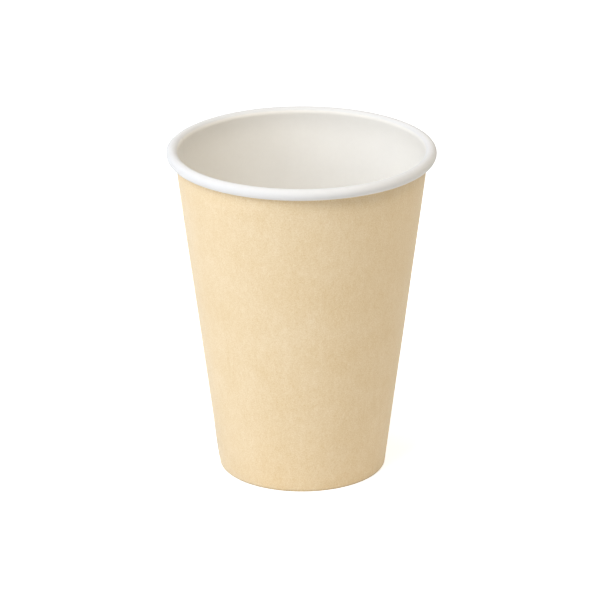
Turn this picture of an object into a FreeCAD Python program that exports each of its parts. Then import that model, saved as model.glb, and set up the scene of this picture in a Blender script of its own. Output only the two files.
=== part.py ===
"""A single-wall paper coffee cup, in millimetres, +Z up, standing on Z = 0 with its axis on Z.

The cup is made of two pieces of board. The sidewall is one fan-shaped blank, kraft outside and
white inside, rolled into a cone with a lapped side seam, curled outwards into the rim at the top
and folded inwards into a hem at the foot. The bottom disc is a second blank, drawn into a shallow
tray that sits upside down, with its skirt sealed between the sidewall and the hem.
"""

import FreeCAD, Part
import math
import os

import Sketcher

App = FreeCAD
V = App.Vector

# The points of a sketch's element, and the sketch's own axes
START, END, CENTRE = range(1, 4)
H_AXIS, V_AXIS = range(-1, -3, -1)

# The driving dimensions, in millimetres and degrees
DIMENSIONS = {
    # the whole cup
    "cup_height": 113.0,         # table to the top of the rim
    "rim_diameter": 90.0,        # across the outside of the curled rim
    "rim_overhang": 2.64,        # how far the rim stands out from the cone, at the curl's centre
    "foot_diameter": 56.4,       # outside of the cone, run down to the table
    # the sidewall blank
    "board_thickness": 0.40,
    "curl_radius": 1.90,         # outside of the roll that makes the rim
    "turn_gap": 0.35,            # between the roll's first turn and its second, tucked inside
    "curl_end_angle": 150.0,     # where the rolled-in edge stops, round the second turn
    "neck_radius": 40.0,         # slow bend that draws the cone in under the rim
    "hem_gap": 0.65,             # hem's cut edge below the bend that the disc's skirt starts at
    "foot_land": 0.44,           # flat pressed on the fold, where the cup stands
    # the side seam
    "seam_angle": 170.0,         # round Z, from +X
    "lap_width": 7.0,            # how far the blank's ends overlap
    "lap_rise": 0.24,            # what the pressed double board stands proud
    "lap_ramp": 1.6,             # width over which the outer ply climbs on to the inner one
    "edge_rise": 0.14,           # what it stands proud on the white side, at its inner ply
    # the bottom disc
    "disc_thickness": 0.35,
    "floor_height": 9.0,         # table to the face that holds the drink
    "disc_bend_radius": 0.4,     # inside of the bend between the floor and the skirt
    "seal_film": 0.02,           # melted coating between the skirt and the sidewall
    "skirt_clearance": 0.3,      # skirt's cut edge above the centre of the hem's fold
}

doc = App.newDocument("paper_cup")
sheet = doc.addObject("Spreadsheet::Sheet", "Dimensions")
for row, (alias, value) in enumerate(DIMENSIONS.items(), start=1):
    sheet.set(f"A{row}", alias)
    sheet.set(f"B{row}", str(value))
    sheet.setAlias(f"B{row}", alias)
doc.recompute()


def size(alias):
    """A driving dimension, read from the sheet."""
    return float(sheet.get(alias))


# Expressions that several sketches share
FOOT_X = "Dimensions.foot_diameter / 2"
WALL_TOP_X = "(Dimensions.rim_diameter / 2 - Dimensions.rim_overhang)"
CURL_X = "Dimensions.rim_diameter / 2 - Dimensions.curl_radius"
CURL_Z = "Dimensions.cup_height - Dimensions.curl_radius"
SLOPE = f"(({WALL_TOP_X} - {FOOT_X}) / ({CURL_Z}))"
SKIRT_SLOT = "(Dimensions.disc_thickness + 2 * Dimensions.seal_film)"
FOLD_RADIUS = f"(Dimensions.board_thickness + {SKIRT_SLOT} / 2)"
TUCK_RADIUS = "Dimensions.curl_radius - Dimensions.board_thickness - Dimensions.turn_gap"
STRETCH = f"sqrt(1 + {SLOPE} ^ 2)"
CURL_OFFSET = (f"((Dimensions.rim_overhang - Dimensions.curl_radius) / {STRETCH}"
               " + Dimensions.board_thickness)")
NECK_DROP = (f"sqrt((Dimensions.neck_radius + Dimensions.curl_radius) ^ 2"
             f" - (Dimensions.neck_radius + {CURL_OFFSET}) ^ 2)")
NECK_START = (f"({CURL_Z} + (({CURL_OFFSET} + Dimensions.board_thickness) * {SLOPE}"
              f" - {NECK_DROP}) / {STRETCH})")
HEM_TOP = ("Dimensions.floor_height - Dimensions.disc_thickness"
           " - Dimensions.disc_bend_radius - Dimensions.hem_gap")


class Cone:
    """Where the sidewall's lines lie in the XZ plane, for a sketch's first guess at its points."""

    def __init__(self):
        self.foot = V(size("foot_diameter") / 2, 0)
        self.curl = V(size("rim_diameter") / 2 - size("curl_radius"),
                      size("cup_height") - size("curl_radius"))
        self.top = V(size("rim_diameter") / 2 - size("rim_overhang"), self.curl.y)
        self.up = (self.top - self.foot).normalize()
        self.out = V(self.up.y, -self.up.x)
        self.board = size("board_thickness")
        self.slot = size("disc_thickness") + 2 * size("seal_film")
        self.fold_radius = self.board + self.slot / 2
        fold_height = math.sqrt(self.fold_radius ** 2 - (size("foot_land") / 2) ** 2)
        self.fold = self.at(self.fold_radius, fold_height)
        self.neck_radius = size("neck_radius")
        foot_of_curl = self.curl - self.out * ((self.curl - self.white(0)) * self.out)
        self.curl_offset = (self.curl - foot_of_curl) * self.out
        reach = self.neck_radius + size("curl_radius")
        drop = math.sqrt(reach ** 2 - (self.neck_radius + self.curl_offset) ** 2)
        self.neck = foot_of_curl - self.up * drop - self.out * self.neck_radius
        self.neck_start = (self.curl.y - self.out.y * (self.curl_offset + self.board)
                           - self.up.y * drop)

    def at(self, depth, height):
        """The point at this height, and this deep in from the kraft face."""
        start = self.foot - self.out * depth
        return start + self.up * ((height - start.y) / self.up.y)

    def white(self, height):
        """The point at this height on the white face."""
        return self.at(self.board, height)

    def radius(self, height):
        """The kraft face's radius at this height."""
        return self.at(0, height).x


def plane(body, role):
    """One of the body's own origin planes."""
    return next(f for f in body.Origin.OriginFeatures if f.Role == role)


def new_body(label):
    """An empty body; its name is its label."""
    return doc.addObject("PartDesign::Body", label)


def new_sketch(body, name, role="XZ_Plane", height=None):
    """A sketch on one of the body's origin planes, raised to a height if one is given."""
    sketch = body.newObject("Sketcher::SketchObject", name)
    sketch.AttachmentSupport = (plane(body, role), [""])
    sketch.MapMode = "FlatFace"
    if height is not None:
        sketch.setExpression("AttachmentOffset.Base.z", height)
    return sketch


def line(sketch, a, b, construction=False):
    return sketch.addGeometry(Part.LineSegment(a, b), construction)


def arc(sketch, centre, radius, a, b):
    """An arc that runs anticlockwise from the direction of point a to that of point b."""
    first = math.atan2(a.y - centre.y, a.x - centre.x)
    last = math.atan2(b.y - centre.y, b.x - centre.x)
    if last <= first:
        last += 2 * math.pi
    circle = Part.Circle(centre, V(0, 0, 1), radius)
    return sketch.addGeometry(Part.ArcOfCircle(circle, first, last))


def tie(sketch, kind, *places):
    """Adds a constraint with no size."""
    return sketch.addConstraint(Sketcher.Constraint(kind, *places))


def dimension(sketch, name, kind, places, value, expression):
    """Adds a named constraint whose size is bound to the sheet."""
    index = sketch.addConstraint(Sketcher.Constraint(kind, *places, value))
    sketch.renameConstraint(index, name)
    sketch.setExpression("Constraints." + name, expression)


def join(sketch, smooth, rough):
    """Closes an outline: tangent at the smooth junctions, only touching at the rough ones."""
    for places in smooth:
        tie(sketch, "Tangent", *places)
    for places in rough:
        tie(sketch, "Coincident", *places)


def kraft_face(sketch, cone):
    """The cone's outer face as a construction line, from the table to the curl's centre height."""
    face = line(sketch, cone.foot, cone.top, construction=True)
    tie(sketch, "PointOnObject", face, START, H_AXIS)
    dimension(sketch, "foot_x", "DistanceX", (H_AXIS, START, face, START), cone.foot.x, FOOT_X)
    dimension(sketch, "wall_top_x", "DistanceX", (H_AXIS, START, face, END), cone.top.x, WALL_TOP_X)
    dimension(sketch, "wall_top_z", "DistanceY", (H_AXIS, START, face, END), cone.top.y, CURL_Z)
    return face


def revolve(body, sketch, name):
    """Turns a section right round the cup's axis."""
    feature = body.newObject("PartDesign::Revolution", name)
    feature.Profile = sketch
    feature.ReferenceAxis = (sketch, ["V_Axis"])
    feature.Angle = 360
    sketch.Visibility = False
    return feature


def board_section(body, cone):
    """The sidewall's section: one strip of board from the rolled-in edge of the rim, down the
    cone and round the fold to the hem's cut edge. The kraft face is outside the cone, inside the
    roll and on the hem; the white face is inside the cone and outside the roll."""
    sketch = new_sketch(body, "board_section")
    face = kraft_face(sketch, cone)
    board = cone.board
    curl_radius = size("curl_radius")
    second_radius = curl_radius - board - size("turn_gap")
    second = cone.curl - V(0, curl_radius - second_radius)
    below = cone.curl - V(0, curl_radius)
    end = math.radians(size("curl_end_angle"))
    end_way = V(math.cos(end), math.sin(end))
    half_land = V(size("foot_land") / 2, 0)
    under_fold = V(cone.fold.x, 0)
    hem_top = (size("floor_height") - size("disc_thickness")
               - size("disc_bend_radius") - size("hem_gap"))
    hem_white = cone.at(board + cone.slot, hem_top)
    hem_kraft = hem_white - cone.out * board

    # kraft face, from the hem's cut edge round to the rolled-in edge
    k_hem = line(sketch, hem_kraft, cone.fold - cone.out * cone.fold_radius)
    k_fold_in = arc(sketch, cone.fold, cone.fold_radius,
                    cone.fold - cone.out, under_fold - half_land)
    k_land = line(sketch, under_fold - half_land, under_fold + half_land)
    k_fold_out = arc(sketch, cone.fold, cone.fold_radius,
                     under_fold + half_land, cone.fold + cone.out)
    k_wall = line(sketch, cone.fold + cone.out * cone.fold_radius,
                  cone.neck + cone.out * (cone.neck_radius + board))
    k_neck = arc(sketch, cone.neck, cone.neck_radius + board,
                 cone.neck + cone.out, cone.curl)
    k_curl = arc(sketch, cone.curl, curl_radius - board, below, cone.neck)
    k_tuck = arc(sketch, second, second_radius - board, second + end_way, below)
    curl_edge = line(sketch, second + end_way * (second_radius - board),
                     second + end_way * second_radius)
    # white face, back to the hem
    w_tuck = arc(sketch, second, second_radius, second + end_way, below)
    w_curl = arc(sketch, cone.curl, curl_radius, below, cone.neck)
    w_neck = arc(sketch, cone.neck, cone.neck_radius, cone.neck + cone.out, cone.curl)
    w_wall = line(sketch, cone.neck + cone.out * cone.neck_radius,
                  cone.fold + cone.out * (cone.slot / 2))
    w_fold = arc(sketch, cone.fold, cone.slot / 2, cone.fold - cone.out, cone.fold + cone.out)
    w_hem = line(sketch, cone.fold - cone.out * (cone.slot / 2), hem_white)
    hem_edge = line(sketch, hem_white, hem_kraft)

    join(sketch,
         smooth=[(k_hem, END, k_fold_in, START), (k_fold_out, END, k_wall, START),
                 (k_wall, END, k_neck, START), (k_neck, END, k_curl, END),
                 (k_curl, START, k_tuck, END), (w_tuck, END, w_curl, START),
                 (w_curl, END, w_neck, END), (w_neck, START, w_wall, START),
                 (w_wall, END, w_fold, END), (w_fold, START, w_hem, START)],
         rough=[(hem_edge, END, k_hem, START), (k_fold_in, END, k_land, START),
                (k_land, END, k_fold_out, START), (k_tuck, START, curl_edge, START),
                (curl_edge, END, w_tuck, START), (w_hem, END, hem_edge, START)])
    for one, other in ((k_neck, w_neck), (k_curl, w_curl), (k_tuck, w_tuck),
                       (k_fold_in, k_fold_out), (k_fold_in, w_fold)):
        tie(sketch, "Coincident", one, CENTRE, other, CENTRE)
    for one in (w_wall, k_hem, w_hem):
        tie(sketch, "Parallel", one, face)
    tie(sketch, "PointOnObject", k_wall, START, face)
    tie(sketch, "PointOnObject", k_wall, END, face)
    tie(sketch, "Equal", k_fold_in, k_fold_out)
    tie(sketch, "Vertical", w_tuck, CENTRE, w_curl, CENTRE)
    tie(sketch, "PointOnObject", w_tuck, CENTRE, curl_edge)
    tie(sketch, "PointOnObject", k_land, START, H_AXIS)
    tie(sketch, "PointOnObject", k_land, END, H_AXIS)
    tie(sketch, "Perpendicular", hem_edge, w_hem)

    dimension(sketch, "curl_x", "DistanceX", (H_AXIS, START, w_curl, CENTRE), cone.curl.x, CURL_X)
    dimension(sketch, "curl_z", "DistanceY", (H_AXIS, START, w_curl, CENTRE), cone.curl.y, CURL_Z)
    dimension(sketch, "curl_radius", "Radius", (w_curl,), curl_radius, "Dimensions.curl_radius")
    dimension(sketch, "tuck_radius", "Radius", (w_tuck,), second_radius, TUCK_RADIUS)
    dimension(sketch, "curl_end", "Angle", (curl_edge,), end, "Dimensions.curl_end_angle * 1 deg")
    dimension(sketch, "neck_radius", "Radius", (w_neck,), cone.neck_radius,
              "Dimensions.neck_radius")
    dimension(sketch, "skirt_slot", "Radius", (w_fold,), cone.slot / 2, SKIRT_SLOT + " / 2")
    dimension(sketch, "foot_land", "DistanceX", (k_land, START, k_land, END), 2 * half_land.x,
              "Dimensions.foot_land")
    dimension(sketch, "hem_top", "DistanceY", (H_AXIS, START, w_hem, END), hem_top, HEM_TOP)
    dimension(sketch, "board", "Distance", (hem_edge, START, hem_edge, END), board,
              "Dimensions.board_thickness")
    return sketch


def kraft_radius(height):
    """An expression for the radius of the cone's kraft face at a height."""
    return f"({FOOT_X} + {SLOPE} * ({height}))"


def white_radius(height):
    """An expression for the radius of the cone's white face at a height."""
    return f"({kraft_radius(height)} - Dimensions.board_thickness * sqrt(1 + {SLOPE} ^ 2))"


def lap_section(body, name, height, face, rise, side):
    """The lap's level section, proud of one face of the wall and rooted in the board's middle.
    The ply on that face ends in a straight cut edge on one side of the lap, and on the other
    it ramps back down. The kraft face has side 1 and the white face, where it is mirrored, -1."""
    height_expression, z = height
    face_expression, face_radius = face
    rise_expression, proud_by = rise
    sketch = new_sketch(body, name, "XY_Plane", height_expression)
    root = size("board_thickness") / 2
    lap = size("lap_width") / 2
    slope_reach = size("lap_ramp") * (proud_by + root) / proud_by
    reach_expression = (f"(Dimensions.lap_width / 2 + Dimensions.lap_ramp"
                        f" * ({rise_expression} + Dimensions.board_thickness / 2)"
                        f" / {rise_expression})")

    def on_circle(radius, y):
        return V(math.sqrt(radius ** 2 - y ** 2), y)

    proud, rooted = face_radius + side * proud_by, face_radius - side * root
    cut, top, bottom = side * lap, -side * lap, -side * (lap + slope_reach)
    proud_ends = sorted((cut, top))
    rooted_ends = sorted((cut, bottom))
    middle = V(0, 0)
    proud_arc = arc(sketch, middle, proud, *(on_circle(proud, y) for y in proud_ends))
    root_arc = arc(sketch, middle, rooted, *(on_circle(rooted, y) for y in rooted_ends))
    cut_edge = line(sketch, on_circle(rooted, cut), on_circle(proud, cut))
    ramp = line(sketch, on_circle(proud, top), on_circle(rooted, bottom))
    cut_end, ramp_end = (END, START) if side > 0 else (START, END)
    join(sketch, smooth=[], rough=[(cut_edge, START, root_arc, cut_end),
                                   (cut_edge, END, proud_arc, cut_end),
                                   (ramp, START, proud_arc, ramp_end),
                                   (ramp, END, root_arc, ramp_end)])
    tie(sketch, "Horizontal", cut_edge)
    for one in (proud_arc, root_arc):
        tie(sketch, "Coincident", one, CENTRE, H_AXIS, START)
    proud_sign, root_sign = ("+", "-") if side > 0 else ("-", "+")
    dimension(sketch, "proud", "Radius", (proud_arc,), proud,
              f"{face_expression} {proud_sign} {rise_expression}")
    dimension(sketch, "root", "Radius", (root_arc,), rooted,
              f"{face_expression} {root_sign} Dimensions.board_thickness / 2")
    for label, at, y, expression in (
            ("cut_y", (cut_edge, END), cut, "Dimensions.lap_width / 2"),
            ("ramp_top_y", (ramp, START), top, "Dimensions.lap_width / 2"),
            ("ramp_foot_y", (ramp, END), bottom, reach_expression)):
        places = (H_AXIS, START) + at if y > 0 else at + (H_AXIS, START)
        dimension(sketch, label, "DistanceY", places, abs(y), expression)
    return sketch


def loft(body, name, first, last):
    """A straight-sided loft between two sections."""
    feature = body.newObject("PartDesign::AdditiveLoft", name)
    feature.Profile = first
    feature.Sections = [last]
    feature.Ruled = True
    for sketch in (first, last):
        sketch.Visibility = False
    return feature


def rim_ply_section(body, cone):
    """The inner ply where it runs on up the neck and over the roll, proud of the white face."""
    sketch = new_sketch(body, "rim_ply_section")
    root = size("board_thickness") / 2
    rise = size("edge_rise")
    curl, neck = cone.curl, cone.neck
    curl_radius, neck_radius = size("curl_radius"), cone.neck_radius
    below = V(curl.x, curl.y - curl_radius)
    lowest = curl - V(0, curl_radius + rise)
    over = arc(sketch, curl, curl_radius + rise, below, neck)
    under = arc(sketch, curl, curl_radius - root, below, neck)
    inner = arc(sketch, neck, neck_radius - rise, neck + cone.out, curl)
    outer = arc(sketch, neck, neck_radius + root, neck + cone.out, curl)
    roll_end = line(sketch, lowest, curl - V(0, curl_radius - root))
    wall_end = line(sketch, neck + cone.out * (neck_radius - rise),
                    neck + cone.out * (neck_radius + root))
    join(sketch,
         smooth=[(over, END, inner, END), (under, END, outer, END)],
         rough=[(roll_end, START, over, START), (roll_end, END, under, START),
                (wall_end, START, inner, START), (wall_end, END, outer, START)])
    face = kraft_face(sketch, cone)
    tie(sketch, "Coincident", over, CENTRE, under, CENTRE)
    tie(sketch, "Coincident", inner, CENTRE, outer, CENTRE)
    tie(sketch, "Vertical", roll_end)
    tie(sketch, "PointOnObject", over, CENTRE, roll_end)
    tie(sketch, "Perpendicular", wall_end, face)
    tie(sketch, "PointOnObject", inner, CENTRE, wall_end)
    dimension(sketch, "curl_x", "DistanceX", (H_AXIS, START, over, CENTRE), curl.x, CURL_X)
    dimension(sketch, "curl_z", "DistanceY", (H_AXIS, START, over, CENTRE), curl.y, CURL_Z)
    dimension(sketch, "over", "Radius", (over,), curl_radius + rise,
              "Dimensions.curl_radius + Dimensions.edge_rise")
    dimension(sketch, "under", "Radius", (under,), curl_radius - root,
              "Dimensions.curl_radius - Dimensions.board_thickness / 2")
    dimension(sketch, "neck", "Radius", (inner,), neck_radius - rise,
              "Dimensions.neck_radius - Dimensions.edge_rise")
    dimension(sketch, "neck_to_wall", "Distance", (inner, CENTRE, face), neck_radius + 2 * root,
              "Dimensions.neck_radius + Dimensions.board_thickness")
    return sketch


def neck_ply_section(body, cone):
    """The outer ply where it follows the neck up into the roll, proud of the kraft face."""
    sketch = new_sketch(body, "neck_ply_section")
    neck = cone.neck
    rooted = cone.neck_radius + size("board_thickness") / 2
    proud = cone.neck_radius + size("board_thickness") + size("lap_rise")
    way = (cone.curl - neck).normalize()
    root_arc = arc(sketch, neck, rooted, neck + cone.out, cone.curl)
    proud_arc = arc(sketch, neck, proud, neck + cone.out, cone.curl)
    wall_end = line(sketch, neck + cone.out * rooted, neck + cone.out * proud)
    roll_end = line(sketch, neck + way * rooted, neck + way * proud)
    reach = line(sketch, neck, cone.curl, construction=True)
    join(sketch, smooth=[],
         rough=[(wall_end, START, root_arc, START), (wall_end, END, proud_arc, START),
                (roll_end, START, root_arc, END), (roll_end, END, proud_arc, END)])
    face = kraft_face(sketch, cone)
    tie(sketch, "Coincident", root_arc, CENTRE, reach, START)
    tie(sketch, "Coincident", proud_arc, CENTRE, reach, START)
    tie(sketch, "Perpendicular", wall_end, face)
    tie(sketch, "PointOnObject", reach, START, wall_end)
    for end in (START, END):
        tie(sketch, "PointOnObject", roll_end, end, reach)
    dimension(sketch, "curl_x", "DistanceX", (H_AXIS, START, reach, END), cone.curl.x, CURL_X)
    dimension(sketch, "curl_z", "DistanceY", (H_AXIS, START, reach, END), cone.curl.y, CURL_Z)
    dimension(sketch, "reach", "Distance", (reach, START, reach, END),
              cone.neck_radius + size("curl_radius"),
              "Dimensions.neck_radius + Dimensions.curl_radius")
    dimension(sketch, "neck_to_wall", "Distance", (reach, START, face),
              cone.neck_radius + size("board_thickness"),
              "Dimensions.neck_radius + Dimensions.board_thickness")
    dimension(sketch, "root", "Radius", (root_arc,), rooted,
              "Dimensions.neck_radius + Dimensions.board_thickness / 2")
    dimension(sketch, "proud", "Radius", (proud_arc,), proud,
              "Dimensions.neck_radius + Dimensions.board_thickness + Dimensions.lap_rise")
    return sketch


def make_sidewall():
    """The rolled blank, with its lap on +X until the whole body is turned to the seam's place."""
    cone = Cone()
    body = new_body("sidewall")
    revolve(body, board_section(body, cone), "rolled_board")

    # the outer ply, from above the fold up the cone, and on up the neck into the roll
    low = (FOLD_RADIUS, cone.fold_radius)
    high = (NECK_START, cone.neck_start)
    rise = ("Dimensions.lap_rise", size("lap_rise"))
    sections = [lap_section(body, name, height, (kraft_radius(height[0]), cone.radius(height[1])),
                            rise, 1)
                for name, height in (("outer_ply_foot", low), ("outer_ply_top", high))]
    loft(body, "outer_ply", *sections)
    neck = revolve(body, neck_ply_section(body, cone), "outer_ply_on_neck")
    neck.Midplane = True
    neck.setExpression("Angle", f"2 * asin(Dimensions.lap_width / 2 / {WALL_TOP_X})")

    # the inner ply, from the floor up the cone, and on up the neck and over the roll
    low = ("Dimensions.floor_height + Dimensions.disc_bend_radius",
           size("floor_height") + size("disc_bend_radius"))
    rise = ("Dimensions.edge_rise", size("edge_rise"))
    sections = [lap_section(body, name, height, (white_radius(height[0]), cone.white(height[1]).x),
                            rise, -1)
                for name, height in (("inner_ply_floor", low), ("inner_ply_top", high))]
    loft(body, "inner_ply", *sections)
    rim = revolve(body, rim_ply_section(body, cone), "inner_ply_on_rim")
    rim.Midplane = True
    rim.setExpression("Angle", f"2 * asin(Dimensions.lap_width / 2 / ({CURL_X}))")

    body.setExpression("Placement.Rotation.Angle", "Dimensions.seam_angle * 1 deg")
    return body


def make_bottom_disc():
    """The drawn tray: a flat floor, and a skirt that hangs beside the sidewall's white face."""
    cone = Cone()
    body = new_body("bottom_disc")
    sketch = new_sketch(body, "disc_section")
    face = kraft_face(sketch, cone)
    thickness, inner_bend = size("disc_thickness"), size("disc_bend_radius")
    outer_bend = inner_bend + thickness
    depth = cone.board + size("seal_film")
    floor = size("floor_height")
    edge_height = cone.fold.y + size("skirt_clearance")
    bend_z = floor - outer_bend
    centre = cone.at(depth + outer_bend, bend_z)
    skirt_out, skirt_in = cone.at(depth, edge_height), cone.at(depth + thickness, edge_height)

    axis = line(sketch, V(0, floor - thickness), V(0, floor))
    top = line(sketch, V(0, floor), V(centre.x, floor))
    bend_out = arc(sketch, centre, outer_bend, centre + cone.out, centre + V(0, 1))
    skirt_outer = line(sketch, centre + cone.out * outer_bend, skirt_out)
    skirt_edge = line(sketch, skirt_out, skirt_in)
    skirt_inner = line(sketch, skirt_in, centre + cone.out * inner_bend)
    bend_in = arc(sketch, centre, inner_bend, centre + cone.out, centre + V(0, 1))
    under = line(sketch, V(centre.x, floor - thickness), V(0, floor - thickness))
    join(sketch,
         smooth=[(top, END, bend_out, END), (bend_out, START, skirt_outer, START),
                 (skirt_inner, END, bend_in, START), (bend_in, END, under, START)],
         rough=[(axis, END, top, START), (skirt_outer, END, skirt_edge, START),
                (skirt_edge, END, skirt_inner, START), (under, END, axis, START)])
    tie(sketch, "PointOnObject", axis, START, V_AXIS)
    tie(sketch, "PointOnObject", axis, END, V_AXIS)
    tie(sketch, "Coincident", bend_out, CENTRE, bend_in, CENTRE)
    for one in (top, under, skirt_edge):
        tie(sketch, "Horizontal", one)
    for one in (skirt_outer, skirt_inner):
        tie(sketch, "Parallel", one, face)
    dimension(sketch, "floor", "DistanceY", (H_AXIS, START, top, START), floor,
              "Dimensions.floor_height")
    dimension(sketch, "thickness", "DistanceY", (axis, START, axis, END), thickness,
              "Dimensions.disc_thickness")
    dimension(sketch, "bend", "Radius", (bend_in,), inner_bend, "Dimensions.disc_bend_radius")
    dimension(sketch, "seat", "Distance", (skirt_outer, END, face), depth,
              "Dimensions.board_thickness + Dimensions.seal_film")
    dimension(sketch, "skirt_z", "DistanceY", (H_AXIS, START, skirt_edge, START), edge_height,
              f"{FOLD_RADIUS} + Dimensions.skirt_clearance")
    revolve(body, sketch, "drawn_disc")
    return body


parts = [make_sidewall(), make_bottom_disc()]
doc.recompute()

for item in doc.Objects:
    if "Invalid" in item.State or "Error" in item.State:
        raise RuntimeError(f"{item.Label} failed: {item.State}")
    if item.TypeId == "Sketcher::SketchObject" and not item.FullyConstrained:
        raise RuntimeError(f"{item.Label} can still move")
for item in parts:
    if item.Shape.isNull() or not item.Shape.isValid() or len(item.Shape.Solids) != 1:
        raise RuntimeError(f"{item.Label} is not one valid solid")

os.makedirs("parts", exist_ok=True)
for item in parts:
    item.Shape.exportStep(f"parts/{item.Label}.step")
    box = item.Shape.optimalBoundingBox()
    print(f"{item.Label}: {item.Shape.Volume:.1f} mm3, X {box.XMin:.2f} to {box.XMax:.2f}, "
          f"Z {box.ZMin:.2f} to {box.ZMax:.2f}")
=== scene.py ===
import math

import bmesh
import bpy
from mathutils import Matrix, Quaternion, Vector, noise


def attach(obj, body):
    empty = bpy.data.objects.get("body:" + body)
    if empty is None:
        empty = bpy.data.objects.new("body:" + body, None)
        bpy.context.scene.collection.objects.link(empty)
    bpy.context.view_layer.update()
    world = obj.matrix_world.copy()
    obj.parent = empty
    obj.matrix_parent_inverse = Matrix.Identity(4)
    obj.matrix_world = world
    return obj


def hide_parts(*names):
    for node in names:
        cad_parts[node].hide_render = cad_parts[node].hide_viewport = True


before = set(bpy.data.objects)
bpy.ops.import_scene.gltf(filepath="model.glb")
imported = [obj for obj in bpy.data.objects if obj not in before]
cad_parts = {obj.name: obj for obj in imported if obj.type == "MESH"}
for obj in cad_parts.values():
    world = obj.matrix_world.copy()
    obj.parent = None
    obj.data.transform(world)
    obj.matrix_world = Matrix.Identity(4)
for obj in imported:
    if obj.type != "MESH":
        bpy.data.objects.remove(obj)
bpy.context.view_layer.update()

# The sidewall is one fan-shaped blank of paperboard, kraft on one face and coated white on the
# other. It is wound into a cone, white inside, with its ends overlapped in a heat-sealed seam. Its
# top edge is rolled outwards into the rim, and its bottom edge is folded in and up as a hem.
MM = 0.001
BOARD = 0.40 * MM
CUP_HEIGHT = 113.0 * MM
RIM_RADIUS = 45.0 * MM
RIM_OVERHANG = 2.64 * MM
FOOT_RADIUS = 28.2 * MM
CURL_RADIUS = 1.90 * MM
TUCK_RADIUS = 1.15 * MM
CURL_END = math.radians(150)
NECK_RADIUS = 40.0 * MM
SKIRT_SLOT = 0.39 * MM
FOOT_LAND = 0.44 * MM
HEM_TOP = 7.6 * MM

SEAM_ANGLE = math.radians(170)
LAP_WIDTH = 7.0 * MM
LAP_RAMP = 1.8 * MM
OUTER_PLY_RISE = 0.26 * MM
INNER_PLY_RISE = 0.15 * MM
SEATED_BELOW, FREE_ABOVE = 10.0 * MM, 16.0 * MM
FOOT_LIFT_TOP = 4.0 * MM

TUCK_STEPS, CURL_STEPS, NECK_STEPS = 8, 30, 6
WALL_STEPS, FOLD_STEPS, HEM_STEPS = 35, 8, 10
COLUMNS = 384
KNURLS = 96
KNURL_DEPTH = 0.10 * MM
KNURL_BAND = (1.6 * MM, 6.4 * MM)
KNURL_EASE = 1.0 * MM
SWAY = 0.07 * MM
SWAY_SCALE = 30
ROLL_REACH = (41.3 * MM, 41.8 * MM)
# painted shade: the kraft darkens from 0.9 mm down to 0.4 mm above the floor, for the shade along
# the foot's bottom edge
FOOT_SHADE_HEIGHTS = (0.90 * MM, 0.40 * MM)
FOOT_SHADE_TONE = (0.78, 0.76, 0.72, 1)
KRAFT_TONES = ((0.1, 0.677, 0.474, 0.214), (0.9, 0.896, 0.764, 0.577))
INSIDE_TONES = ((0.2, 0.840, 0.816, 0.783), (0.8, 0.890, 0.870, 0.840))
# the roll is written darker than the inside, because these lamps light it hardest
ROLL_TONES = ((0.2, 0.725, 0.720, 0.736), (0.8, 0.775, 0.771, 0.787))
CUT_TONES = ((0.3, 0.60, 0.49, 0.34), (0.7, 0.80, 0.73, 0.60))

curl_centre = Vector((RIM_RADIUS - CURL_RADIUS, 0, CUP_HEIGHT - CURL_RADIUS))
wall_top = Vector((RIM_RADIUS - RIM_OVERHANG, 0, curl_centre.z))
wall_foot = Vector((FOOT_RADIUS, 0, 0))
up = (wall_top - wall_foot).normalized()
out = Vector((up.z, 0, -up.x))
lean = math.atan2(-out.z, out.x)


def wall_point(depth, height):
    """The point of the wall's section at this height and this deep in from its kraft face."""
    start = wall_foot - out * depth
    return start + up * ((height - start.z) / up.z)


def bend(bm, tip, centre, angle, steps):
    """Carries a section on round an arc, anticlockwise as seen from the front, to its new tip."""
    made = bmesh.ops.spin(bm, geom=[tip], cent=centre, axis=(0, -1, 0), angle=angle, steps=steps)
    return made["geom_last"][0]


def run(bm, tip, end, steps):
    """Carries a section on along a straight line to its new tip."""
    step = (end - tip.co) / steps
    for _ in range(steps):
        tip = bmesh.ops.extrude_vert_indiv(bm, verts=[tip])["verts"][0]
        bmesh.ops.translate(bm, verts=[tip], vec=step)
    return tip


def rise(value, start, end):
    """0 before start, 1 past end, and a smooth climb between them."""
    share = min(max((value - start) / (end - start), 0), 1)
    return share * share * (3 - 2 * share)


def thicken(bm, thickness, way):
    """Gives a sheet its thickness along each point's way, and returns the far side's faces."""
    made = bmesh.ops.extrude_face_region(bm, geom=bm.faces[:] + bm.edges[:], use_keep_orig=True)
    for vert in (g for g in made["geom"] if isinstance(g, bmesh.types.BMVert)):
        vert.co += vert[way] * thickness
    return {g for g in made["geom"] if isinstance(g, bmesh.types.BMFace)}


def finish_piece(bm, name, materials, node):
    """Turns a mesh into a piece that stands for a node, with a hard line where a face ends."""
    bmesh.ops.recalc_face_normals(bm, faces=bm.faces[:])
    for face in bm.faces:
        face.smooth = True
    for edge in bm.edges:
        edge.smooth = len({face.material_index for face in edge.link_faces}) == 1
    mesh = bpy.data.meshes.new(name)
    bm.to_mesh(mesh)
    bm.free()
    for material in materials:
        mesh.materials.append(material)
    piece = bpy.data.objects.new(name, mesh)
    bpy.context.scene.collection.objects.link(piece)
    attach(piece, "root")
    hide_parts(node)
    return piece


# the white face's section, from the rolled-in edge of the rim to the hem's cut edge
curl_offset = (curl_centre - wall_point(BOARD, curl_centre.z)).dot(out)
neck_reach = NECK_RADIUS + CURL_RADIUS
neck_turn = math.acos((NECK_RADIUS + curl_offset) / neck_reach)
neck_way = out * math.cos(neck_turn) + up * math.sin(neck_turn)
neck_centre = curl_centre - neck_way * neck_reach
tuck_centre = curl_centre - Vector((0, 0, CURL_RADIUS - TUCK_RADIUS))
roll_edge = Vector((math.cos(CURL_END), 0, math.sin(CURL_END))) * TUCK_RADIUS
fold_radius = BOARD + SKIRT_SLOT / 2
fold_centre = wall_point(fold_radius, math.sqrt(fold_radius ** 2 - (FOOT_LAND / 2) ** 2))

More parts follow.
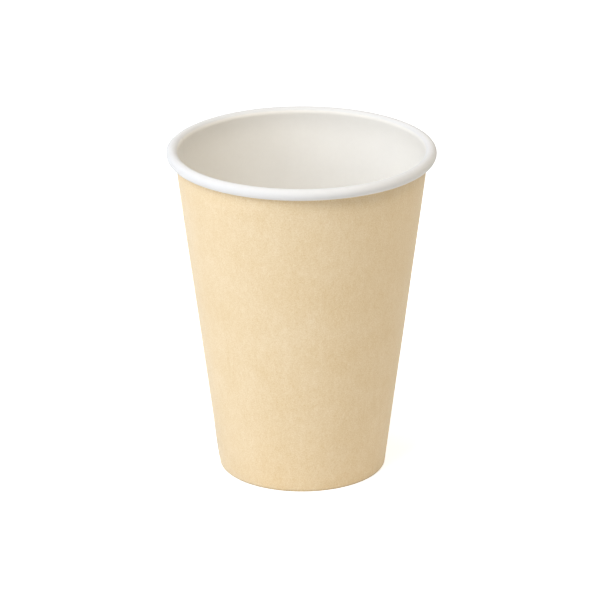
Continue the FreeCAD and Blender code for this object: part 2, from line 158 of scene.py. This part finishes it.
bm = bmesh.new()
tip = bm.verts.new(tuck_centre + roll_edge)
tip = bend(bm, tip, tuck_centre, 1.5 * math.pi - CURL_END, TUCK_STEPS)
tip = bend(bm, tip, curl_centre, 1.5 * math.pi + neck_turn - lean, CURL_STEPS)
tip = bend(bm, tip, neck_centre, -neck_turn, NECK_STEPS)
tip = run(bm, tip, fold_centre + out * (SKIRT_SLOT / 2), WALL_STEPS)
tip = bend(bm, tip, fold_centre, -math.pi, FOLD_STEPS)
tip = run(bm, tip, wall_point(BOARD + SKIRT_SLOT, HEM_TOP), HEM_STEPS)

# the blank, drawn out column by column, each one knowing its share of the way round
around = bm.verts.layers.float.new("around")
edges = bm.edges[:]
for column in range(1, COLUMNS + 1):
    made = bmesh.ops.extrude_edge_only(bm, edges=edges)["geom"]
    verts = {g for g in made if isinstance(g, bmesh.types.BMVert)}
    for vert in verts:
        vert[around] = column / COLUMNS
    edges = [g for g in made if isinstance(g, bmesh.types.BMEdge) and verts.issuperset(g.verts)]

# wound into a cone whose ends overlap by the lap: inner ply at the start, outer ply at the end
inner_ply = bm.verts.layers.float.new("inner_ply")
outer_ply = bm.verts.layers.float.new("outer_ply")
half_lap = LAP_WIDTH / 2
for vert in bm.verts:
    radius = vert.co.x
    turn = vert[around] * (2 * math.pi + LAP_WIDTH / radius) - half_lap / radius
    vert[inner_ply] = 1 - rise(turn * radius, half_lap, half_lap + LAP_RAMP)
    vert[outer_ply] = rise((turn - 2 * math.pi) * radius, -half_lap - LAP_RAMP, -half_lap)
    angle = SEAM_ANGLE + turn
    vert.co = Vector((radius * math.cos(angle), radius * math.sin(angle), vert.co.z))
bm.normal_update()
mid_face = min(bm.faces, key=lambda face: abs(face.calc_center_median().z - CUP_HEIGHT / 2))
facing_in = -math.copysign(1, mid_face.normal.dot(mid_face.calc_center_median() * Vector((1, 1, 0))))
kraft_way = bm.verts.layers.float_vector.new("kraft_way")
for vert in bm.verts:
    vert[kraft_way] = -vert.normal * facing_in

# in the lap the outer ply stands over the inner one, and at the foot it takes all of the rise
for vert in bm.verts:
    seated = 1 - rise(vert.co.z, SEATED_BELOW, FREE_ABOVE)
    outer_rise = OUTER_PLY_RISE + INNER_PLY_RISE * seated
    inner_rise = INNER_PLY_RISE * (1 - seated)
    sway = SWAY * noise.noise(vert.co * SWAY_SCALE) * (1 - seated)
    lift = max(0, 1 - vert.co.z / FOOT_LIFT_TOP) * max(vert[inner_ply], vert[outer_ply])
    vert.co += vert[kraft_way] * (vert[outer_ply] * outer_rise - vert[inner_ply] * inner_rise + sway)
    vert.co.z += lift * BOARD

# the board's thickness, the flat pressed on the foot, and the knurling that presses the hem home
white_faces = set(bm.faces)
kraft_faces = thicken(bm, BOARD, kraft_way)
for face in bm.faces:
    face.material_index = 0 if face in white_faces else 1 if face in kraft_faces else 2
for vert in bm.verts:
    vert.co.z = max(vert.co.z, 0)
hem_verts = {v for face in kraft_faces for v in face.verts
             if KNURL_BAND[0] < v.co.z < KNURL_BAND[1] and v[kraft_way].dot(v.co) < 0}
for vert in hem_verts:
    wave = 0.5 - 0.5 * math.cos(KNURLS * math.atan2(vert.co.y, vert.co.x))
    low_end = rise(vert.co.z, KNURL_BAND[0], KNURL_BAND[0] + KNURL_EASE)
    high_end = 1 - rise(vert.co.z, KNURL_BAND[1] - KNURL_EASE, KNURL_BAND[1])
    vert.co -= vert[kraft_way] * (KNURL_DEPTH * wave * low_end * high_end)


def node(tree, kind, settings=None, **inputs):
    """Adds a shader node, each input given as a value or as another node's output."""
    made = tree.nodes.new("ShaderNode" + kind)
    for name, value in (settings or {}).items():
        setattr(made, name, value)
    for name, value in inputs.items():
        socket = made.inputs[name.replace("_", " ")]
        if isinstance(value, bpy.types.NodeSocket):
            tree.links.new(value, socket)
        else:
            socket.default_value = value
    return made


def new_material(name):
    """A material with its node tree and its shader."""
    material = bpy.data.materials.new(name)
    material.use_nodes = True
    return material, material.node_tree, material.node_tree.nodes["Principled BSDF"]


def pattern(tree, scale, detail=2.0, roughness=0.5, stretch=(1, 1, 1)):
    """Noise that stays with the board; a stretch under 1 draws it out along that axis."""
    coordinates = node(tree, "TexCoord").outputs["Object"]
    placed = node(tree, "Mapping", Vector=coordinates, Scale=stretch).outputs["Vector"]
    made = node(tree, "TexNoise", Vector=placed, Scale=scale, Detail=detail, Roughness=roughness)
    return made.outputs["Fac"]


def blend_of(tree, *shares):
    """Adds patterns, each about its middle and by its own share, round one half."""
    total = None
    for socket, share in shares:
        centred = node(tree, "Math", {"operation": "SUBTRACT"})
        tree.links.new(socket, centred.inputs[0])
        centred.inputs[1].default_value = 0.5
        added = node(tree, "Math", {"operation": "MULTIPLY_ADD"})
        tree.links.new(centred.outputs[0], added.inputs[0])
        added.inputs[1].default_value = share
        if total is None:
            added.inputs[2].default_value = 0.5
        else:
            tree.links.new(total, added.inputs[2])
        total = added.outputs[0]
    return total


def tones(tree, socket, *stops):
    """Colours along a pattern, from (place, red, green, blue) stops."""
    ramp = node(tree, "ValToRGB", Fac=socket)
    elements = ramp.color_ramp.elements
    while len(elements) < len(stops):
        elements.new(0.5)
    for element, (place, *colour) in zip(elements, stops):
        element.position = place
        element.color = (*colour, 1)
    return ramp.outputs["Color"]


def spread(tree, socket, low, high):
    """A pattern as numbers between low and high."""
    return node(tree, "MapRange", Value=socket, To_Min=low, To_Max=high).outputs["Result"]


def relief(tree, socket, depth, strength):
    """A pattern as bumps of this depth in metres."""
    return node(tree, "Bump", Height=socket, Distance=depth, Strength=strength).outputs["Normal"]


def height_of(tree):
    """How high up the cup a point is."""
    return node(tree, "SeparateXYZ", Vector=node(tree, "TexCoord").outputs["Object"]).outputs["Z"]


def reach_of(tree):
    """How far from the cup's axis a point is."""
    flat = node(tree, "VectorMath", {"operation": "MULTIPLY"})
    tree.links.new(node(tree, "TexCoord").outputs["Object"], flat.inputs[0])
    flat.inputs[1].default_value = (1, 1, 0)
    length = node(tree, "VectorMath", {"operation": "LENGTH"})
    tree.links.new(flat.outputs["Vector"], length.inputs[0])
    return length.outputs["Value"]


def change(tree, where, start, end, before, after, way="MIX"):
    """One colour up to a place, and past it another (MIX), or that times the first (MULTIPLY)."""
    share = node(tree, "MapRange", {"interpolation_type": "SMOOTHSTEP"}, Value=where,
                 From_Min=start, From_Max=end).outputs["Result"]
    mixed = node(tree, "Mix", {"data_type": "RGBA", "blend_type": way})
    sockets = {socket.identifier: socket for socket in mixed.inputs}
    tree.links.new(share, sockets["Factor_Float"])
    tree.links.new(before, sockets["A_Color"])
    if way == "MIX":
        tree.links.new(after, sockets["B_Color"])
    else:
        sockets["B_Color"].default_value = after
    return next(socket for socket in mixed.outputs if socket.identifier == "Result_Color")


def kraft_board():
    """Uncoated kraft: a mottled grain, faint streaks, soft clouds, and a darker line of painted
    shade at the fold.
    """
    material, tree, shader = new_material("kraft_board")
    grain = pattern(tree, 2600, 2, 0.6)
    fibres = pattern(tree, 1000, 2, 0.6, stretch=(1, 1, 0.4))
    patches = pattern(tree, 260, 2, 0.5)
    clouds = pattern(tree, 70, 4, 0.65)
    streaks = pattern(tree, 420, 2, 0.5, stretch=(1, 1, 0.08))
    tone = blend_of(tree, (grain, 0.9), (fibres, 0.22), (patches, 0.12),
                    (clouds, 0.28), (streaks, 0.1))
    colour = tones(tree, tone, *KRAFT_TONES)
    # painted shade darkens the kraft along the foot's bottom edge
    foot_shaded = change(tree, height_of(tree), *FOOT_SHADE_HEIGHTS, colour, FOOT_SHADE_TONE, "MULTIPLY")
    tree.links.new(foot_shaded, shader.inputs["Base Color"])
    tree.links.new(spread(tree, grain, 0.62, 0.80), shader.inputs["Roughness"])
    shader.inputs["Sheen Weight"].default_value = 0.25
    shader.inputs["Sheen Roughness"].default_value = 0.5
    tree.links.new(relief(tree, tone, 0.03 * MM, 0.35), shader.inputs["Normal"])
    return material


def coated_board():
    """White board under a thin satin film: creamy inside, and on the roll painted shade, cooler and
    darker.
    """
    material, tree, shader = new_material("coated_board")
    clouds = pattern(tree, 90, 3, 0.6)
    fibres = pattern(tree, 700, 3, 0.6)
    tone = blend_of(tree, (clouds, 0.35), (fibres, 0.35))
    inside = tones(tree, tone, *INSIDE_TONES)
    roll = tones(tree, tone, *ROLL_TONES)
    # painted shade: the roll's tone is darker and cooler than the inside's, as the lamps light the
    # roll hardest
    colour = change(tree, reach_of(tree), *ROLL_REACH, inside, roll)
    tree.links.new(colour, shader.inputs["Base Color"])
    tree.links.new(spread(tree, clouds, 0.58, 0.68), shader.inputs["Roughness"])
    shader.inputs["Specular IOR Level"].default_value = 0.2
    tree.links.new(relief(tree, fibres, 0.012 * MM, 0.3), shader.inputs["Normal"])
    return material


def cut_board():
    """The board's raw edge: pale plies of fibre between the kraft face and the white one."""
    material, tree, shader = new_material("cut_board")
    plies = pattern(tree, 1500, 2, 0.6)
    colour = tones(tree, plies, *CUT_TONES)
    tree.links.new(colour, shader.inputs["Base Color"])
    shader.inputs["Roughness"].default_value = 0.85
    tree.links.new(relief(tree, plies, 0.05 * MM, 0.5), shader.inputs["Normal"])
    return material


COATED, KRAFT, CUT = coated_board(), kraft_board(), cut_board()
finish_piece(bm, "wound_sidewall", [COATED, KRAFT, CUT], "sidewall")

# The bottom is a disc of white board, drawn so that its edge turns down as a short skirt. The skirt
# is sealed between the cone and its hem. The drawing leaves fine pleats where the edge turns.
FLOOR_HEIGHT = 9.0 * MM
DISC = 0.35 * MM
DISC_BEND = 0.75 * MM
SEAL_FILM = 0.02 * MM
SKIRT_CLEARANCE = 0.30 * MM
DISC_RINGS, BEND_STEPS, SKIRT_STEPS = 40, 7, 8
DISC_COLUMNS = 288
MERGE_WITHIN = 0.001 * MM
PLEATS = 72
PLEAT_DEPTH = 0.05 * MM
PLEAT_REACH = 2.2 * MM
PLEAT_SCALE = 160
FLOOR_SAG = 0.25 * MM
BARE_TONES = ((0.2, 0.76, 0.735, 0.69), (0.8, 0.86, 0.845, 0.81))

bend_centre = wall_point(BOARD + SEAL_FILM + DISC_BEND, FLOOR_HEIGHT - DISC_BEND)
skirt_edge = wall_point(BOARD + SEAL_FILM, fold_centre.z + SKIRT_CLEARANCE)
bm = bmesh.new()
tip = bm.verts.new((0, 0, FLOOR_HEIGHT))
tip = run(bm, tip, Vector((bend_centre.x, 0, FLOOR_HEIGHT)), DISC_RINGS)
tip = bend(bm, tip, bend_centre, -(math.pi / 2 + lean), BEND_STEPS)
tip = run(bm, tip, skirt_edge, SKIRT_STEPS)
bmesh.ops.spin(bm, geom=bm.verts[:] + bm.edges[:], cent=(0, 0, 0), axis=(0, 0, 1),
               angle=2 * math.pi, steps=DISC_COLUMNS, use_merge=True)
bmesh.ops.remove_doubles(bm, verts=bm.verts[:], dist=MERGE_WITHIN)
bmesh.ops.recalc_face_normals(bm, faces=bm.faces[:])
bm.normal_update()
underneath = bm.verts.layers.float_vector.new("underneath")
middle_face = min(bm.faces, key=lambda face: face.calc_center_median().xy.length)
facing_up = math.copysign(1, middle_face.normal.z)
for vert in bm.verts:
    vert[underneath] = -vert.normal * facing_up
for vert in bm.verts:
    from_axis = vert.co.xy.length / bend_centre.x
    turn = math.atan2(vert.co.y, vert.co.x)
    near_edge = rise(vert.co.xy.length, bend_centre.x - PLEAT_REACH, bend_centre.x + DISC_BEND)
    uneven = 0.6 + 0.8 * noise.noise(vert.co * PLEAT_SCALE)
    pleat = PLEAT_DEPTH * near_edge * uneven * (0.5 - 0.5 * math.cos(PLEATS * turn))
    vert.co += vert[underneath] * pleat
    vert.co.z -= FLOOR_SAG * max(0, 1 - from_axis ** 2)
top_faces = set(bm.faces)
under_faces = thicken(bm, DISC, underneath)
for face in bm.faces:
    face.material_index = 0 if face in top_faces else 1 if face in under_faces else 2


def bare_board():
    """The disc's underside: white board with no film, matt and a little fibrous."""
    material, tree, shader = new_material("bare_board")
    clouds = pattern(tree, 110, 3, 0.6)
    fibres = pattern(tree, 1300, 3, 0.65)
    tone = blend_of(tree, (clouds, 0.6), (fibres, 0.6))
    colour = tones(tree, tone, *BARE_TONES)
    tree.links.new(colour, shader.inputs["Base Color"])
    tree.links.new(spread(tree, fibres, 0.75, 0.9), shader.inputs["Roughness"])
    tree.links.new(relief(tree, fibres, 0.03 * MM, 0.4), shader.inputs["Normal"])
    return material


finish_piece(bm, "drawn_bottom", [COATED, bare_board(), CUT], "bottom_disc")

# The cup stands alone on a plain white floor, in soft light: cool from the left and the front, and
# warm from the right. The camera is the photograph's, a long lens looking down by about 21 degrees.
FLOOR_SIZE = 3.0
FLOOR_COLOUR = (0.90, 0.90, 0.90, 1)
AMBIENT = 0.19
AMBIENT_COLOUR = (1, 0.99, 0.98, 1)
# the floor glows only where it is seen, and a little blue, as mostly warm light reaches the shadow
FLOOR_GLOW = 0.56
GLOW_COLOUR = (0.93, 0.965, 1, 1)
PHOTO_WIDTH = 600
FOCAL_PIXELS = 3728.6
SENSOR = 36.0
CAMERA_DISTANCE = 1.2598
CAMERA_ELEVATION = math.radians(20.957)
CAMERA_ROLL = -0.0034
LOOK_HEIGHT = 58.95 * MM
CENTRE_PIXELS = (2.016, 1.66)


def seen_rays(tree):
    """1 for the rays that see a backdrop: the camera's, and those mirrored or let through."""
    path = node(tree, "LightPath").outputs
    seen = path["Is Camera Ray"]
    for kind in ("Is Glossy Ray", "Is Transmission Ray"):
        either = node(tree, "Math", {"operation": "MAXIMUM"})
        tree.links.new(seen, either.inputs[0])
        tree.links.new(path[kind], either.inputs[1])
        seen = either.outputs[0]
    return seen


world = bpy.data.worlds.new("studio")
bpy.context.scene.world = world
world.use_nodes = True
world.node_tree.nodes.clear()
tree = world.node_tree
ambient = node(tree, "Background", Color=AMBIENT_COLOUR, Strength=AMBIENT)
white = node(tree, "Background", Color=(1, 1, 1, 1), Strength=1.0)
mixed = node(tree, "MixShader", Fac=seen_rays(tree))
tree.links.new(ambient.outputs[0], mixed.inputs[1])
tree.links.new(white.outputs[0], mixed.inputs[2])
node(tree, "OutputWorld", Surface=mixed.outputs[0])

bm = bmesh.new()
bmesh.ops.create_grid(bm, x_segments=1, y_segments=1, size=FLOOR_SIZE / 2)
floor_mesh = bpy.data.meshes.new("studio_floor")
bm.to_mesh(floor_mesh)
bm.free()
floor_material, tree, shader = new_material("studio_floor")
shader.inputs["Base Color"].default_value = FLOOR_COLOUR
shader.inputs["Roughness"].default_value = 0.9
shader.inputs["Specular IOR Level"].default_value = 0.0
shader.inputs["Emission Color"].default_value = GLOW_COLOUR
glow = node(tree, "Math", {"operation": "MULTIPLY"})
glow.inputs[0].default_value = FLOOR_GLOW
tree.links.new(seen_rays(tree), glow.inputs[1])
tree.links.new(glow.outputs[0], shader.inputs["Emission Strength"])
floor_mesh.materials.append(floor_material)
floor = bpy.data.objects.new("studio_floor", floor_mesh)
bpy.context.scene.collection.objects.link(floor)

COOL, WARM = (0.94, 0.975, 1.0), (1.0, 0.89, 0.68)
LIGHTS = {
    "key": {"place": (-0.5, -0.69, 0.9), "watts": 6.2, "colour": COOL},
    "left": {"place": (-0.94, -0.54, 0.56), "watts": 4.8, "colour": COOL},
    "left_rear": {"place": (-0.85, 0.49, 0.74), "watts": 1.8, "colour": COOL},
    "overhead": {"place": (0.0, -0.02, 1.25), "watts": 1.5, "colour": COOL},
    "right": {"place": (0.52, -0.3, 1.09), "watts": 4.8, "colour": WARM},
    "right_low": {"place": (1.04, -0.18, 0.62), "watts": 1.1, "colour": WARM},
}
LAMP_SIZE = 0.60
cup_middle = Vector((0, 0, CUP_HEIGHT / 2))
for name, lamp in LIGHTS.items():
    data = bpy.data.lights.new(name, "AREA")
    data.shape = "DISK"
    data.size = LAMP_SIZE
    data.energy = lamp["watts"]
    data.color = lamp["colour"]
    light = bpy.data.objects.new(name, data)
    light.location = lamp["place"]
    light.rotation_euler = (cup_middle - light.location).to_track_quat("-Z", "Y").to_euler()
    bpy.context.scene.collection.objects.link(light)

camera_data = bpy.data.cameras.new("photo_view")
camera_data.sensor_width = SENSOR
camera_data.lens = FOCAL_PIXELS * SENSOR / PHOTO_WIDTH
camera = bpy.data.objects.new("photo_view", camera_data)
look_at = Vector((0, 0, LOOK_HEIGHT))
back = Vector((0, -math.cos(CAMERA_ELEVATION), math.sin(CAMERA_ELEVATION)))
camera.location = look_at + back * CAMERA_DISTANCE
aim = (look_at - camera.location).to_track_quat("-Z", "Y")
nudge = (Quaternion((0, 1, 0), CENTRE_PIXELS[0] / FOCAL_PIXELS)
         @ Quaternion((1, 0, 0), -CENTRE_PIXELS[1] / FOCAL_PIXELS)
         @ Quaternion((0, 0, 1), CAMERA_ROLL))
camera.rotation_euler = (aim @ nudge).to_euler()
bpy.context.scene.collection.objects.link(camera)
bpy.context.scene.camera = camera
bpy.context.scene.view_settings.view_transform = "Standard"
